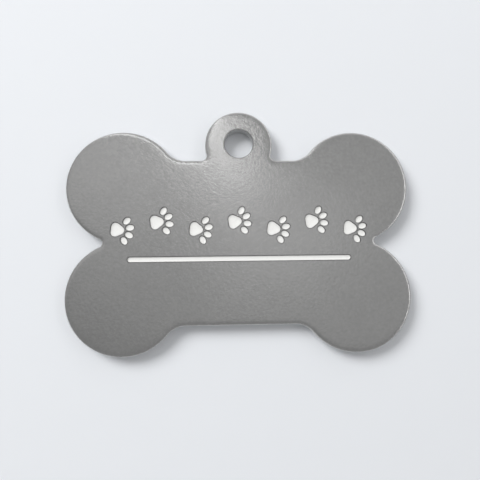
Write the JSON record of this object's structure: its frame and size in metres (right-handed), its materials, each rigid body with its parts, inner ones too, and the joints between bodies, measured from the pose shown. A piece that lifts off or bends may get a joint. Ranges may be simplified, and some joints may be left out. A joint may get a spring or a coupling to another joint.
{
  "type": "bone-shaped pet tag",
  "caption": "Flat bone-shaped steel pet tag with a pierced ear for a collar ring, tumbled edges, and a white enamel trail of paw prints above a line.",
  "frame": {"origin": "the bone's middle, halfway between its four lobes, on the flat back face", "axes": "+X along the bone to the right as the front is read, +Y up towards the ear, +Z out of the front face"},
  "size_m": [0.038, 0.027, 0.0015],
  "materials": {
    "satin_steel": "tumbled satin, fine grain without direction",
    "white_enamel": "soft enamel, wiped nearly flush"
  },
  "bodies": {
    "root": {"tag_plate": "satin_steel", "print_1_heel_pad": "white_enamel", "print_1_toe_pad_1": "white_enamel", "print_1_toe_pad_2": "white_enamel", "print_1_toe_pad_3": "white_enamel", "print_1_toe_pad_4": "white_enamel", "print_2_heel_pad": "white_enamel", "print_2_toe_pad_1": "white_enamel", "print_2_toe_pad_2": "white_enamel", "print_2_toe_pad_3": "white_enamel", "print_2_toe_pad_4": "white_enamel", "print_3_heel_pad": "white_enamel", "print_3_toe_pad_1": "white_enamel", "print_3_toe_pad_2": "white_enamel", "print_3_toe_pad_3": "white_enamel", "print_3_toe_pad_4": "white_enamel", "print_4_heel_pad": "white_enamel", "print_4_toe_pad_1": "white_enamel", "print_4_toe_pad_2": "white_enamel", "print_4_toe_pad_3": "white_enamel", "print_4_toe_pad_4": "white_enamel", "print_5_heel_pad": "white_enamel", "print_5_toe_pad_1": "white_enamel", "print_5_toe_pad_2": "white_enamel", "print_5_toe_pad_3": "white_enamel", "print_5_toe_pad_4": "white_enamel", "print_6_heel_pad": "white_enamel", "print_6_toe_pad_1": "white_enamel", "print_6_toe_pad_2": "white_enamel", "print_6_toe_pad_3": "white_enamel", "print_6_toe_pad_4": "white_enamel", "print_7_heel_pad": "white_enamel", "print_7_toe_pad_1": "white_enamel", "print_7_toe_pad_2": "white_enamel", "print_7_toe_pad_3": "white_enamel", "print_7_toe_pad_4": "white_enamel", "line": "white_enamel"}
  },
  "joints": []
}
